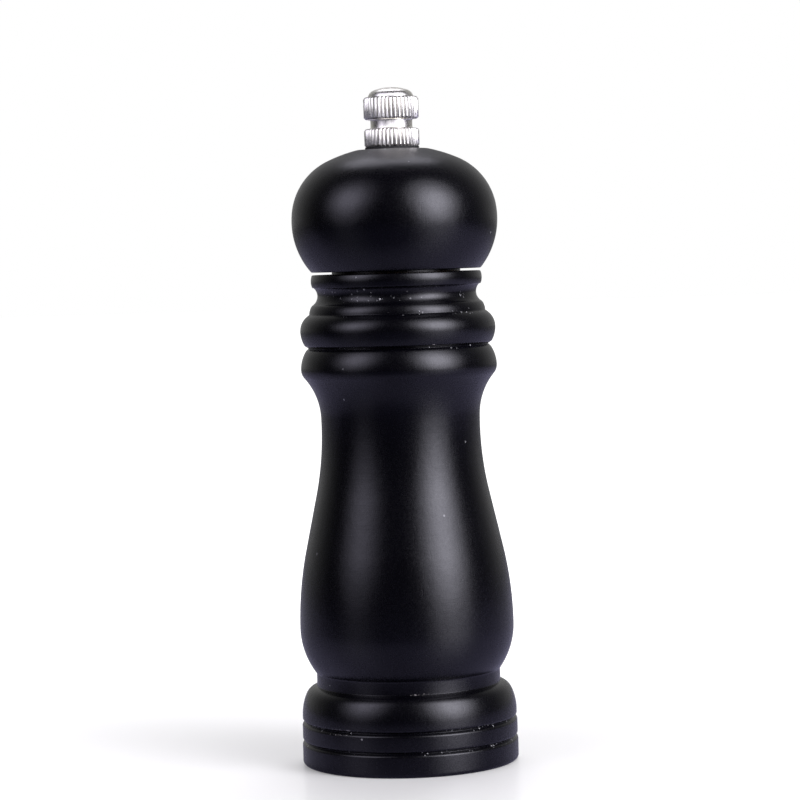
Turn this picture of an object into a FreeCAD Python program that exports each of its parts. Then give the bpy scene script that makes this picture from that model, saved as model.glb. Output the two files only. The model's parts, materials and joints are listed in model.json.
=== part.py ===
"""Turned wooden pepper mill, 165 mm tall, as a parametric assembly of 20 separate sub-parts.

Frame: millimetres, +Z up along the mill's axis, origin at the centre of the foot's underside.
The wooden body stands still. The head, drive plate, square shaft and rotor burr turn together, and the
knurled knob on the shaft's thread sets the height of the rotor burr, and so the grind.
"""

import FreeCAD, Part
import math
import os

import Sketcher
from FreeCAD import Placement, Rotation, Vector

# Driving dimensions: alias, value in mm (or a plain count or degrees), what it is.
SIZES = [
    # Outside of the turned body, from the foot up
    ("foot_radius", 26.5, "lowest band of the foot"),
    ("foot_edge_round", 1.1, "rounding under the foot"),
    ("vee_depth", 0.75, "depth of the turned V grooves"),
    ("vee_half_width", 0.6, "half the width of a V groove at its mouth"),
    ("low_vee_height", 5.85, "lower V groove of the foot"),
    ("high_vee_height", 10.6, "upper V groove of the foot"),
    ("foot_ring_radius", 26.4, "band between the two V grooves"),
    ("foot_top_radius", 26.3, "band above the V grooves"),
    ("foot_top_height", 12.2, "where the foot starts to round in"),
    ("foot_side_round", 12.5, "large arc of the foot's shoulder"),
    ("foot_crest_round", 3.5, "small arc of the foot's crest"),
    ("waist_radius", 22.5, "straight band between foot and belly"),
    ("waist_bottom", 19.3, "lower end of that band"),
    ("belly_low_round", 18.7, "arc under the belly"),
    ("belly_radius", 26.2, "widest point of the belly"),
    ("belly_height", 33.6, "height of the belly's widest point"),
    ("belly_round", 88.0, "arc over the belly"),
    ("neck_radius", 19.4, "narrowest point of the neck"),
    ("neck_height", 82.5, "height of the narrowest point"),
    ("neck_round", 77.0, "hollow arc of the neck"),
    ("flare_round", 15.7, "hollow arc from the neck to the shoulder"),
    ("shoulder_radius", 23.95, "widest point of the shoulder"),
    ("shoulder_height", 96.8, "height of the shoulder's widest point"),
    ("shoulder_low_round", 3.1, "arc under the shoulder"),
    ("shoulder_top_round", 8.5, "arc over the shoulder"),
    ("top_vee_height", 102.05, "V groove between shoulder and collar"),
    ("top_vee_radius", 21.9, "bottom of that groove"),
    ("collar_radius", 23.85, "widest point of the collar ring"),
    ("collar_height", 106.2, "height of the collar's widest point"),
    ("collar_low_round", 7.0, "arc under the collar"),
    ("collar_top_round", 4.6, "arc over the collar"),
    ("bead_bottom", 110.2, "foot of the small quarter bead"),
    ("bead_round", 3.5, "arc of the quarter bead"),
    ("bead_top", 112.4, "crease between the bead and the cove"),
    ("cove_round", 2.7, "hollow arc under the rim"),
    ("cove_radius", 19.38, "narrowest point of the cove"),
    ("cove_height", 114.75, "height of that point"),
    ("rim_bottom", 116.7, "underside of the rim band"),
    ("rim_radius", 20.88, "rim band at the top of the body"),
    ("rim_top", 119.85, "top face of the body"),
    ("rim_height", 118.3, "widest point of the rim band"),
    ("rim_round", 4.0, "bulge of the rim band's side"),
    # Inside of the body
    ("outlet_radius", 20.0, "recess under the mill that the ground pepper falls through"),
    ("shelf_height", 10.0, "shelf that the burr carrier's flange bears on"),
    ("burr_bore_radius", 14.5, "bore for the burr carrier"),
    ("burr_bore_top", 33.0, "top of that bore"),
    ("chamber_radius", 13.5, "peppercorn chamber"),
    ("socket_radius", 15.8, "socket for the head's tenon"),
    ("socket_floor", 109.45, "ledge that the drive plate rides on"),
    # Head
    ("head_bottom", 120.5, "underside of the head, over an open joint line"),
    ("head_radius", 25.1, "widest point of the head"),
    ("head_height", 132.7, "height of the widest point"),
    ("head_low_round", 19.0, "arc under the widest point"),
    ("cheek_round", 21.0, "arc just over the widest point"),
    ("brow_round", 15.5, "tighter arc between cheek and crown"),
    ("crown_round", 38.5, "shallow crown, centred on the axis"),
    ("crown_top", 150.9, "where the crown would meet the axis"),
    ("knob_seat", 149.9, "flat on the crown under the knob"),
    ("head_edge_round", 0.5, "rounding of the head's lower edge"),
    ("tenon_radius", 15.7, "tenon that turns in the body's socket"),
    ("tenon_bottom", 110.7, "underside of the tenon"),
    ("tenon_chamfer", 0.6, "lead-in on the tenon"),
    ("head_bore_radius", 4.4, "clearance bore for the shaft"),
    # Drive plate
    ("plate_radius", 15.1, "steel drive plate under the tenon"),
    ("plate_thickness", 1.2, "sheet thickness"),
    ("plate_square", 5.6, "square hole, across flats"),
    ("plate_screw_circle", 10.0, "radius that the two plate screws stand on"),
    ("plate_boss_radius", 6.2, "pressed boss round the square hole"),
    ("plate_boss_height", 0.5, "height of the pressed boss"),
    # Shaft
    ("shaft_square", 5.5, "square shaft, across flats"),
    ("shaft_corner", 0.45, "chamfer along the shaft's corners"),
    ("square_bottom", 8.3, "lower end of the square"),
    ("square_top", 147.5, "upper end of the square"),
    ("thread_radius", 2.5, "M5 thread, as a plain cylinder"),
    ("thread_top", 160.0, "tip of the thread"),
    ("thread_chamfer", 0.6, "lead-in at the tip"),
    ("journal_radius", 2.5, "round end under the square"),
    ("journal_bottom", 5.6, "lower tip of the shaft"),
    ("clip_groove_radius", 2.0, "groove for the retaining clip"),
    ("clip_groove_bottom", 6.4, "underside of the clip groove"),
    ("clip_groove_width", 0.8, "width of the clip groove"),
    # Knob
    ("washer_thickness", 0.6, "black washer between head and knob"),
    ("washer_radius", 6.6, "outside of that washer"),
    ("washer_bore", 2.6, "its bore"),
    ("knob_radius", 6.7, "over the knurl"),
    ("knob_low_top", 154.9, "top of the lower knurled band"),
    ("knob_neck_radius", 5.1, "smooth neck between the bands"),
    ("knob_high_bottom", 157.2, "underside of the upper knurled band"),
    ("knob_high_top", 162.6, "top of the upper knurled band"),
    ("knob_chamfer", 0.45, "chamfer at the ends of both bands"),
    ("dome_radius", 5.6, "widest reach of the dome's rounded edge"),
    ("dome_edge_round", 2.2, "arc of the dome's edge"),
    ("dome_round", 12.0, "arc of the dome's crown"),
    ("knob_top", 165.0, "top of the knob"),
    ("knurl_count", 40, "ridges of the straight knurl"),
    ("knurl_depth", 0.45, "depth of the knurl"),
    ("knurl_half_width", 0.38, "half the width of a knurl groove"),
    ("knob_bore_radius", 2.55, "threaded bore, as a plain cylinder"),
    ("knob_bore_top", 161.8, "blind end of the bore"),
    # Burr carrier
    ("flange_radius", 19.6, "flange of the burr carrier"),
    ("flange_bottom", 7.6, "underside of the flange"),
    ("carrier_radius", 14.3, "barrel of the burr carrier"),
    ("carrier_bore", 12.3, "inside of the barrel"),
    ("carrier_top", 32.0, "top of the spider"),
    ("spider_bottom", 29.5, "underside of the spider"),
    ("hub_radius", 5.6, "hub that guides the shaft"),
    ("hub_bore", 3.65, "bore of the hub"),
    ("arm_width", 3.4, "spider arms"),
    ("arm_count", 3, "spider arms, lugs and carrier screws"),
    ("carrier_screw_circle", 17.2, "radius that the carrier screws stand on"),
    ("retainer_radius", 15.6, "outside of the stator retainer"),
    ("retainer_bore", 11.2, "inside of the stator retainer"),
    ("retainer_top", 9.2, "top of the stator retainer"),
    # Stator burr
    ("stator_radius", 12.2, "outside of the ceramic ring"),
    ("stator_top", 21.0, "top of the ceramic ring"),
    ("stator_mouth_radius", 10.6, "inside at the top"),
    ("stator_throat_radius", 9.35, "narrowest inside radius"),
    ("stator_throat_height", 12.8, "height of the narrowest point"),
    ("stator_exit_radius", 10.75, "inside at the lower edge"),
    ("lug_width", 3.0, "lugs that stop the ring turning"),
    ("lug_depth", 0.9, "how far the lugs stand out"),
    ("lug_height", 4.0, "height of the lugs"),
    ("lug_play", 0.05, "play of the lugs in their slots"),
    # Rotor burr
    ("rotor_bottom", 8.2, "underside of the rotor burr"),
    ("rotor_skirt_radius", 10.65, "lower edge of the rotor burr"),
    ("rotor_step_radius", 8.83, "radius where its fine teeth end"),
    ("rotor_step_height", 12.8, "height where its fine teeth end"),
    ("rotor_tip_radius", 5.5, "radius at the top"),
    ("rotor_top", 19.3, "top of the rotor burr"),
    ("rotor_square", 5.6, "square hole, across flats"),
    ("fine_teeth", 28, "fine teeth of each burr"),
    ("fine_depth", 0.5, "depth of the fine teeth"),
    ("fine_half_width", 0.5, "half the width of a fine groove"),
    ("rotor_flutes", 7, "feeding flutes of the rotor"),
    ("rotor_flute_depth", 1.5, "depth of the rotor's flutes"),
    ("rotor_flute_half_width", 1.6, "half the width of a rotor flute"),
    ("stator_flutes", 12, "feeding flutes of the stator"),
    ("stator_flute_depth", 0.9, "depth of the stator's flutes"),
    ("stator_flute_half_width", 1.0, "half the width of a stator flute"),
    ("tooth_slant", 18.0, "slant of the rotor's teeth, in degrees"),
    # Washers, spring and clip
    ("spring_washer_thickness", 0.6, "both spring washers"),
    ("spring_washer_radius", 5.3, "outside of the spring washers"),
    ("spring_washer_bore", 3.9, "inside of the spring washers"),
    ("spring_radius", 4.45, "mean coil radius"),
    ("spring_wire", 0.8, "wire diameter"),
    ("spring_pitch", 1.75, "rise per turn"),
    ("rotor_washer_radius", 5.0, "outside of the washer under the rotor"),
    ("rotor_washer_bore", 2.6, "its bore"),
    ("clip_radius", 4.4, "outside of the retaining clip"),
    ("clip_bore", 2.05, "grip of the retaining clip"),
    ("clip_thickness", 0.7, "thickness of the retaining clip"),
    ("clip_mouth", 3.2, "open side of the retaining clip"),
    ("clip_notch", 0.8, "radius of the clip's relief notches"),
    # Pan-head screws
    ("carrier_screw_length", 9.0, "shank of a carrier screw"),
    ("carrier_screw_radius", 1.15, "shank radius of a carrier screw"),
    ("carrier_screw_head", 2.1, "head radius of a carrier screw"),
    ("plate_screw_length", 7.0, "shank of a plate screw"),
    ("plate_screw_radius", 0.95, "shank radius of a plate screw"),
    ("plate_screw_head", 1.8, "head radius of a plate screw"),
    ("screw_head_height", 1.3, "height of both kinds of head"),
    ("screw_head_round", 0.7, "rounding of both kinds of head"),
    ("screw_tip", 1.6, "length of the screws' points"),
    ("screw_tip_radius", 0.2, "blunt end of the points"),
    ("recess_width", 0.55, "arm of the cross recess"),
    ("recess_depth", 0.75, "depth of the cross recess"),
    ("screw_play", 0.05, "clearance of a screw in its holes"),
]

doc = FreeCAD.newDocument("pepper_mill")
sheet = doc.addObject("Spreadsheet::Sheet", "Sizes")
for row, (alias, value, note) in enumerate(SIZES, 1):
    sheet.set(f"A{row}", note)
    sheet.set(f"B{row}", str(value))
    sheet.setAlias(f"B{row}", alias)
doc.recompute()


class Size(float):
    """A number that also carries the spreadsheet formula it comes from."""

    def __new__(cls, number, formula):
        made = super().__new__(cls, number)
        made.formula = formula
        return made

    def _with(self, other, sign, number):
        return Size(number, f"({self.formula} {sign} {formula_of(other)})")

    def __add__(self, other):
        return self._with(other, "+", float(self) + float(other))

    def __sub__(self, other):
        return self._with(other, "-", float(self) - float(other))

    def __mul__(self, other):
        return self._with(other, "*", float(self) * float(other))

    def __truediv__(self, other):
        return self._with(other, "/", float(self) / float(other))


def formula_of(number):
    """The formula of a Size, or the digits of a plain number."""
    return number.formula if isinstance(number, Size) else str(number)


class Sheet:
    """Reads the spreadsheet: s.foot_radius is the Size in the cell with that alias."""

    def __getattr__(self, alias):
        return Size(sheet.get(alias), f"Sizes.{alias}")


s = Sheet()
ZERO = Size(0.0, "0")


# ---------------------------------------------------------------- helpers for bodies and sketches


def new_body(name):
    """A PartDesign body whose Label names its file."""
    body = doc.addObject("PartDesign::Body", name)
    body.Label = name
    return body


def origin_feature(body, role):
    """The body's own origin plane or axis, such as XY_Plane or Z_Axis."""
    return next(f for f in body.Origin.OriginFeatures if f.Role == role)


def new_sketch(body, name, plane="XZ_Plane", height=None):
    """A sketch on one of the body's own origin planes, raised by height along its normal."""
    sketch = body.newObject("Sketcher::SketchObject", f"{body.Name}_{name}")
    sketch.AttachmentSupport = (origin_feature(body, plane), [""])
    sketch.MapMode = "FlatFace"
    if height is not None:
        sketch.setExpression(".AttachmentOffset.Base.z", height.formula)
    doc.recompute()
    return sketch


def drive(sketch, kind, *where_and_size):
    """Adds a dimension whose last argument is a Size, and binds it to the sheet."""
    size = where_and_size[-1]
    index = sketch.addConstraint(Sketcher.Constraint(kind, *where_and_size[:-1], float(size)))
    sketch.setExpression(f"Constraints[{index}]", formula_of(size))


def pin_down(sketch, edge, end, x=None, y=None):
    """Ties one end (1 start, 2 end, 3 centre) of an edge to x and y from the sketch's origin."""
    for kind, axis, size in (("DistanceX", -2, x), ("DistanceY", -1, y)):
        if size is None:
            continue
        if abs(size) < 1e-9:
            sketch.addConstraint(Sketcher.Constraint("PointOnObject", edge, end, axis))
        elif size > 0:
            drive(sketch, kind, -1, 1, edge, end, size)
        else:
            drive(sketch, kind, edge, end, -1, 1, ZERO - size)


def flat(x, y):
    return Vector(float(x), float(y), 0)


def reach(radius, rise):
    """How far out a circle still is at a height of rise from its centre."""
    return math.sqrt(float(radius) ** 2 - float(rise) ** 2)


def crossing(one, reach_one, two, reach_two):
    """The point at the given distances from two centres, to the right of the way from one to two."""
    way = two - one
    along = (reach_one ** 2 - reach_two ** 2 + way.Length ** 2) / (2 * way.Length)
    aside = math.sqrt(reach_one ** 2 - along ** 2)
    way.normalize()
    return one + way * along + Vector(way.y, -way.x, 0) * aside


def beyond(centre, through, distance):
    """The point at a distance from centre on the ray to another point."""
    ray = through - centre
    ray.normalize()
    return centre + ray * float(distance)


class Outline:
    """Draws a closed outline edge by edge. Each edge starts where the last one ended.

    keep names the coordinates of an edge's end that get a dimension: "xy", "x", "y" or "".
    """

    def __init__(self, sketch, x, y):
        self.sketch = sketch
        self.start = (x, y)
        self.at = flat(x, y)
        self.first = None
        self.last = None

    def _join(self, shape, first_end, last_end, smooth):
        edge = self.sketch.addGeometry(shape, False)
        if self.last is None:
            self.first = (edge, first_end)
            pin_down(self.sketch, edge, first_end, *self.start)
        else:
            kind = "Tangent" if smooth else "Coincident"
            self.sketch.addConstraint(Sketcher.Constraint(kind, *self.last, edge, first_end))
        self.last = (edge, last_end)
        return edge

    def _keep(self, x, y, keep):
        pin_down(self.sketch, *self.last, x if "x" in keep else None, y if "y" in keep else None)
        self.at = flat(x, y)

    def line(self, x, y, keep="xy", smooth=False):
        self._join(Part.LineSegment(self.at, flat(x, y)), 1, 2, smooth)
        self._keep(x, y, keep)

    def arc(self, x, y, radius, centre, turn, keep="", keep_centre="", smooth=False):
        """An arc to x, y about centre, which is (x, y). turn is left or right."""
        middle = flat(*centre)
        here, there = self.at - middle, flat(x, y) - middle
        angles = [math.atan2(here.y, here.x), math.atan2(there.y, there.x)]
        ends = (1, 2) if turn == "left" else (2, 1)
        low, high = angles if turn == "left" else reversed(angles)
        circle = Part.Circle(middle, Vector(0, 0, 1), float(radius))
        edge = self._join(Part.ArcOfCircle(circle, low, high), *ends, smooth)
        drive(self.sketch, "Radius", edge, radius)
        centre_x = centre[0] if "x" in keep_centre else None
        centre_y = centre[1] if "y" in keep_centre else None
        pin_down(self.sketch, edge, 3, centre_x, centre_y)
        self._keep(x, y, keep)

    def close(self):
        self._join(Part.LineSegment(self.at, flat(*self.start)), 1, 2, False)
        self.sketch.addConstraint(Sketcher.Constraint("Coincident", *self.last, *self.first))
        doc.recompute()
        return self.sketch


def polygon(sketch, *corners):
    """A closed outline of straight edges through the corners."""
    outline = Outline(sketch, *corners[0])
    for x, y in corners[1:]:
        outline.line(x, y)
    return outline.close()


def circles(sketch, *radii, x=ZERO, y=ZERO):
    """Circles about one point."""
    for radius in radii:
        edge = sketch.addGeometry(Part.Circle(flat(x, y), Vector(0, 0, 1), float(radius)), False)
        pin_down(sketch, edge, 3, x, y)
        drive(sketch, "Radius", edge, radius)
    doc.recompute()
    return sketch


def feature(body, kind, name, profile, **settings):
    """A PartDesign feature on a sketch. A Size among the settings is bound to the sheet."""
    made = body.newObject(f"PartDesign::{kind}", f"{body.Name}_{name}")
    made.Profile = (profile, [""])
    for key, value in settings.items():
        if isinstance(value, Size):
            made.setExpression(key, value.formula)
        else:
            setattr(made, key, value)
    profile.Visibility = False
    doc.recompute()
    return made


def turned(body, name, sketch, kind="Revolution"):
    """A solid of revolution, or with kind Groove a turned cut, about the sketch's upright axis."""
    return feature(body, kind, name, sketch, ReferenceAxis=(sketch, ["V_Axis"]), Angle=360.0)


def cut_up(body, name, sketch, length):
    """A pocket that runs upwards from its sketch."""
    return feature(body, "Pocket", name, sketch, Length=length, Reversed=True)


def around(body, name, original, count):
    """Repeats a feature evenly about the body's upright axis."""
    pattern = body.newObject("PartDesign::PolarPattern", f"{body.Name}_{name}")
    pattern.Originals = [original]
    pattern.Axis = (origin_feature(body, "Z_Axis"), [""])
    pattern.Angle = 360.0
    pattern.setExpression("Occurrences", count.formula)
    body.Tip = pattern
    doc.recompute()
    return pattern


def teeth(body, name, low, high, depth, half_width, count, inside, slant=ZERO):
    """V grooves along a cone. low and high are (radius, height) on it; inside says it is a hole's wall."""
    sections = []
    for label, (radius, height), turn in (("low", low, ZERO), ("high", high, slant)):
        sketch = new_sketch(body, f"{name}_{label}", "XY_Plane", height)
        sketch.setExpression(".AttachmentOffset.Rotation.Angle", turn.formula)
        clear = ZERO - depth * 0.5 if inside else depth * 0.5
        deep = depth if inside else ZERO - depth
        mouth = half_width * 1.5
        polygon(
            sketch,
            (radius + clear, ZERO - mouth),
            (radius + clear, mouth),
            (radius + deep, ZERO),
        )
        sections.append(sketch)
    loft = body.newObject("PartDesign::SubtractiveLoft", f"{body.Name}_{name}")
    loft.Profile = (sections[0], [""])
    loft.Sections = [(sections[1], [""])]
    loft.Ruled = True
    doc.recompute()
    return around(body, f"{name}_all", loft, count)


def ring(name, outside, bore, bottom, thickness):
    """A plain flat ring or washer."""
    body = new_body(name)
    sketch = circles(new_sketch(body, "outline", "XY_Plane", bottom), outside, bore)
    feature(body, "Pad", "plate", sketch, Length=thickness)
    return body


# ---------------------------------------------------------------- the turned wooden body


def vee(outline, radius, height, upper_radius=None):
    """A turned V groove in the outline, from radius below it to upper_radius above it."""
    outline.line(radius, height - s.vee_half_width)
    outline.line(radius - s.vee_depth, height)
    outline.line(upper_radius or radius, height + s.vee_half_width)


def mill_body():
    body = new_body("mill_body")
    outline = Outline(new_sketch(body, "outside"), ZERO, ZERO)

    # Foot: a rounded lower edge, two V grooves, and a shoulder of two arcs up to the waist
    outline.line(s.foot_radius - s.foot_edge_round, ZERO)
    outline.arc(
        s.foot_radius, s.foot_edge_round, s.foot_edge_round,
        (s.foot_radius - s.foot_edge_round, s.foot_edge_round), "left", keep="xy",
    )
    vee(outline, s.foot_radius, s.low_vee_height, s.foot_ring_radius)
    vee(outline, s.foot_ring_radius, s.high_vee_height, s.foot_top_radius)
    outline.line(s.foot_top_radius, s.foot_top_height)
    side = flat(s.foot_top_radius - s.foot_side_round, s.foot_top_height)
    waist = flat(s.waist_radius, s.waist_bottom)
    crest = crossing(side, s.foot_side_round - s.foot_crest_round, waist, s.foot_crest_round)
    meet = beyond(side, crest, s.foot_side_round)
    outline.arc(meet.x, meet.y, s.foot_side_round, (side.x, s.foot_top_height), "left", keep_centre="y")
    outline.arc(
        s.waist_radius, s.waist_bottom, s.foot_crest_round, (crest.x, crest.y), "left", keep="xy", smooth=True
    )

    # Belly, neck and shoulder: one smooth line of arcs
    low = (s.belly_radius - s.belly_low_round, s.belly_height)
    rise = reach(s.belly_low_round, s.waist_radius - low[0])
    outline.line(s.waist_radius, s.belly_height - rise, keep="x")
    outline.arc(s.belly_radius, s.belly_height, s.belly_low_round, low, "left", keep="xy", keep_centre="y")
    belly = flat(s.belly_radius - s.belly_round, s.belly_height)
    neck = flat(s.neck_radius + s.neck_round, s.neck_height)
    way = neck - belly
    lean = math.atan2(way.y, way.x) - math.acos((s.belly_round + s.neck_round) / way.Length)
    out = Vector(math.cos(lean), math.sin(lean), 0)
    leave = belly + out * float(s.belly_round)
    arrive = neck - out * float(s.neck_round)
    shoulder = flat(s.shoulder_radius - s.shoulder_low_round, s.shoulder_height)
    flare = crossing(shoulder, s.flare_round + s.shoulder_low_round, neck, s.neck_round - s.flare_round)
    into_flare = beyond(neck, flare, s.neck_round)
    into_shoulder = beyond(shoulder, flare, s.shoulder_low_round)
    outline.arc(leave.x, leave.y, s.belly_round, (belly.x, s.belly_height), "left", keep_centre="y")
    outline.line(arrive.x, arrive.y, keep="", smooth=True)
    outline.arc(
        into_flare.x, into_flare.y, s.neck_round, (s.neck_radius + s.neck_round, s.neck_height), "right",
        keep_centre="xy", smooth=True,
    )
    outline.arc(into_shoulder.x, into_shoulder.y, s.flare_round, (flare.x, flare.y), "right", smooth=True)
    outline.arc(
        s.shoulder_radius, s.shoulder_height, s.shoulder_low_round, (shoulder.x, s.shoulder_height), "left",
        keep="xy", keep_centre="y", smooth=True,
    )

    # Shoulder top, V groove and collar ring
    top = s.top_vee_height - s.vee_half_width
    wide = s.shoulder_radius - s.shoulder_top_round + reach(s.shoulder_top_round, top - s.shoulder_height)
    centre = (s.shoulder_radius - s.shoulder_top_round, s.shoulder_height)
    outline.arc(wide, top, s.shoulder_top_round, centre, "left", keep="y", keep_centre="y")
    collar = s.collar_radius - s.collar_low_round
    top = s.top_vee_height + s.vee_half_width
    wide_above = collar + reach(s.collar_low_round, top - s.collar_height)
    outline.line(s.top_vee_radius, s.top_vee_height)
    outline.line(wide_above, top, keep="y")
    outline.arc(
        s.collar_radius, s.collar_height, s.collar_low_round, (collar, s.collar_height), "left",
        keep="xy", keep_centre="y",
    )
    collar = s.collar_radius - s.collar_top_round
    wide = collar + reach(s.collar_top_round, s.bead_bottom - s.collar_height)
    outline.arc(
        wide, s.bead_bottom, s.collar_top_round, (collar, s.collar_height), "left", keep="y", keep_centre="y"
    )

    # Quarter bead, cove and barrel-shaped rim band
    cove = (s.cove_radius + s.cove_round, s.cove_height)
    crease = flat(cove[0] - reach(s.cove_round, s.cove_height - s.bead_top), s.bead_top)
    bead = crossing(crease, s.bead_round, flat(wide, s.bead_bottom), s.bead_round)
    outline.arc(crease.x, s.bead_top, s.bead_round, (bead.x, bead.y), "left", keep="y")
    step = cove[0] - reach(s.cove_round, s.rim_bottom - s.cove_height)
    outline.arc(step, s.rim_bottom, s.cove_round, cove, "right", keep="y", keep_centre="xy")
    band = (s.rim_radius - s.rim_round, s.rim_height)
    outline.line(band[0] + reach(s.rim_round, s.rim_height - s.rim_bottom), s.rim_bottom, keep="y")
    top_edge = band[0] + reach(s.rim_round, s.rim_top - s.rim_height)
    outline.arc(top_edge, s.rim_top, s.rim_round, band, "left", keep="y", keep_centre="xy")
    outline.line(ZERO, s.rim_top)
    turned(body, "turning", outline.close())

    # Bores, from the recess under the foot up to the socket for the head
    bores = polygon(
        new_sketch(body, "inside"),
        (ZERO, ZERO),
        (s.outlet_radius, ZERO),
        (s.outlet_radius, s.shelf_height),
        (s.burr_bore_radius, s.shelf_height),
        (s.burr_bore_radius, s.burr_bore_top),
        (s.chamber_radius, s.burr_bore_top),
        (s.chamber_radius, s.socket_floor),
        (s.socket_radius, s.socket_floor),
        (s.socket_radius, s.rim_top),
        (ZERO, s.rim_top),
    )
    turned(body, "bores", bores, kind="Groove")
    pilot = new_sketch(body, "pilot", "XY_Plane", s.shelf_height)
    circles(pilot, s.carrier_screw_radius + s.screw_play, x=s.carrier_screw_circle)
    depth = s.flange_bottom + s.carrier_screw_length + s.screw_play * 4 - s.shelf_height
    around(body, "pilots", cut_up(body, "pilot_hole", pilot, depth), s.arm_count)
    return body


# ---------------------------------------------------------------- grinding mechanism in the foot


def burr_carrier():
    """Flanged plastic barrel with a three-armed spider that guides the shaft."""
    body = new_body("burr_carrier")
    seat = s.retainer_radius + s.screw_play
    section = polygon(
        new_sketch(body, "section"),
        (s.carrier_bore, s.retainer_top),
        (seat, s.retainer_top),
        (seat, s.flange_bottom),
        (s.flange_radius, s.flange_bottom),
        (s.flange_radius, s.shelf_height),
        (s.carrier_radius, s.shelf_height),
        (s.carrier_radius, s.carrier_top),
        (s.carrier_bore, s.carrier_top),
    )
    turned(body, "barrel", section)
    thickness = s.carrier_top - s.spider_bottom
    half_arm = s.arm_width / 2
    arm = polygon(
        new_sketch(body, "arm_outline", "XY_Plane", s.spider_bottom),
        (s.hub_radius - half_arm / 2, ZERO - half_arm),
        (s.carrier_bore + half_arm / 4, ZERO - half_arm),
        (s.carrier_bore + half_arm / 4, half_arm),
        (s.hub_radius - half_arm / 2, half_arm),
    )
    around(body, "arms", feature(body, "Pad", "arm", arm, Length=thickness), s.arm_count)
    hub = circles(new_sketch(body, "hub_outline", "XY_Plane", s.spider_bottom), s.hub_radius, s.hub_bore)
    feature(body, "Pad", "hub", hub, Length=thickness)

    # Slots for the stator's lugs, and the screw holes
    half_slot = s.lug_width / 2 + s.lug_play
    slot_end = s.stator_radius + s.lug_depth + s.lug_play
    slot = polygon(
        new_sketch(body, "slot_outline", "XY_Plane", s.retainer_top),
        (s.stator_throat_radius, ZERO - half_slot),
        (slot_end, ZERO - half_slot),
        (slot_end, half_slot),
        (s.stator_throat_radius, half_slot),
    )
    around(body, "slots", cut_up(body, "slot", slot, s.lug_height + s.lug_play), s.arm_count)
    hole = new_sketch(body, "hole_outline", "XY_Plane", s.flange_bottom)
    circles(hole, s.carrier_screw_radius + s.screw_play, x=s.carrier_screw_circle)
    around(body, "holes", cut_up(body, "hole", hole, s.shelf_height - s.flange_bottom), s.arm_count)
    return body


def stator_ring():
    """Ceramic ring with feeding flutes above and fine teeth below, kept from turning by its lugs."""
    body = new_body("stator_ring")
    section = polygon(
        new_sketch(body, "section"),
        (s.stator_exit_radius, s.retainer_top),
        (s.stator_radius, s.retainer_top),
        (s.stator_radius, s.stator_top),
        (s.stator_mouth_radius, s.stator_top),
        (s.stator_throat_radius, s.stator_throat_height),
    )
    turned(body, "ring", section)
    half_lug = s.lug_width / 2
    lug = polygon(
        new_sketch(body, "lug_outline", "XY_Plane", s.retainer_top),
        (s.stator_radius - s.lug_depth, ZERO - half_lug),
        (s.stator_radius + s.lug_depth, ZERO - half_lug),
        (s.stator_radius + s.lug_depth, half_lug),
        (s.stator_radius - s.lug_depth, half_lug),
    )
    around(body, "lugs", feature(body, "Pad", "lug", lug, Length=s.lug_height), s.arm_count)
    throat = (s.stator_throat_radius, s.stator_throat_height)
    teeth(
        body, "fine", (s.stator_exit_radius, s.retainer_top), throat, s.fine_depth, s.fine_half_width,
        s.fine_teeth, inside=True,
    )
    teeth(
        body, "flute", throat, (s.stator_mouth_radius, s.stator_top), s.stator_flute_depth,
        s.stator_flute_half_width, s.stator_flutes, inside=True,
    )
    return body


def rotor_burr():
    """Ceramic cone that turns in the stator, with slanted flutes above and fine slanted teeth below."""
    body = new_body("rotor_burr")
    section = polygon(
        new_sketch(body, "section"),
        (ZERO, s.rotor_bottom),
        (s.rotor_skirt_radius, s.rotor_bottom),
        (s.rotor_step_radius, s.rotor_step_height),
        (s.rotor_tip_radius, s.rotor_top),
        (ZERO, s.rotor_top),
    )
    turned(body, "cone", section)
    step = (s.rotor_step_radius, s.rotor_step_height)
    teeth(
        body, "fine", (s.rotor_skirt_radius, s.rotor_bottom), step, s.fine_depth, s.fine_half_width,
        s.fine_teeth, inside=False, slant=s.tooth_slant,
    )
    teeth(
        body, "flute", step, (s.rotor_tip_radius, s.rotor_top), s.rotor_flute_depth,
        s.rotor_flute_half_width, s.rotor_flutes, inside=False, slant=s.tooth_slant,
    )
    square = new_sketch(body, "square", "XY_Plane", s.rotor_bottom)
    cut_up(body, "square_hole", square_outline(square, s.rotor_square, ZERO), s.rotor_top - s.rotor_bottom)
    return body


def square_outline(sketch, across, corner):
    """A square about the origin. With a corner size, its corners are cut off."""
    half = across / 2
    side = half - corner
    low, back = ZERO - half, ZERO - side
    if corner == 0:
        return polygon(sketch, (low, low), (half, low), (half, half), (low, half))
    return polygon(
        sketch, (back, low), (side, low), (half, back), (half, side), (side, half), (back, half), (low, side),
        (low, back),
    )


def retaining_clip():
    """Sprung clip in the shaft's groove, open on one side and relieved by two notches."""
    body = new_body("retaining_clip")
    plane = new_sketch(body, "outline", "XY_Plane", s.clip_groove_bottom)
    feature(body, "Pad", "plate", circles(plane, s.clip_radius, s.clip_bore), Length=s.clip_thickness)
    half_mouth = s.clip_mouth / 2
    mouth = polygon(
        new_sketch(body, "mouth_outline", "XY_Plane", s.clip_groove_bottom),
        (ZERO, ZERO - half_mouth),
        (s.clip_radius * 1.2, ZERO - half_mouth),
        (s.clip_radius * 1.2, half_mouth),
        (ZERO, half_mouth),
    )
    cut_up(body, "mouth", mouth, s.clip_thickness)
    notch = new_sketch(body, "notch_outline", "XY_Plane", s.clip_groove_bottom)
    for side in (-1, 1):
        circles(notch, s.clip_notch, x=ZERO - s.clip_bore * 0.7, y=s.clip_bore * 0.9 * side)
    cut_up(body, "notches", notch, s.clip_thickness)
    return body


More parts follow.
